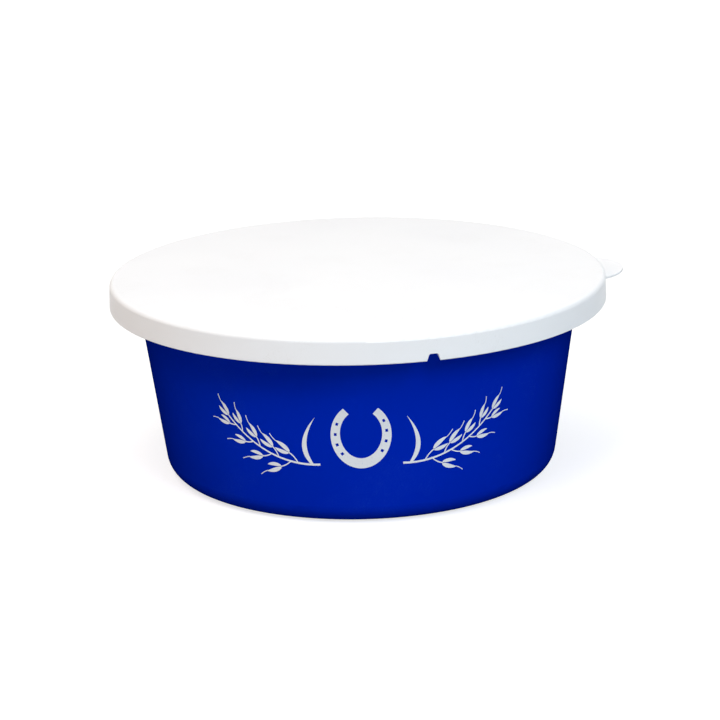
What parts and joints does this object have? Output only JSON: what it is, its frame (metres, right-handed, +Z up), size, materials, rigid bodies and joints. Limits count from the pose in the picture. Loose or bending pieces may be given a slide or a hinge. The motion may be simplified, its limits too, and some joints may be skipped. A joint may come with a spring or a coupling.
{
  "type": "horse feed bowl",
  "caption": "Round dark blue feed bowl with sloping wall, turned-over rim and foot ring, closed by a flat white press-on lid with skirt and half-moon pull tab.",
  "frame": {"origin": "centre of the bowl's foot, on the plane that it stands on", "axes": "+Z up along the bowl's axis, -Y towards the front, +X to the right seen from the front; the lid's pull tab points 17 degrees from +X towards +Y"},
  "size_m": [0.312, 0.2972, 0.1185],
  "materials": {
    "bowl_blue": "satin",
    "lid_white": "satin"
  },
  "bodies": {
    "bowl": {"bowl": "bowl_blue"},
    "lid": {"lid": "lid_white"}
  },
  "joints": [
    {"name": "lid_lift", "type": "slide", "parent": "bowl", "child": "lid", "axis": [0, 0, 1], "range_m": [0, 0.15]}
  ]
}
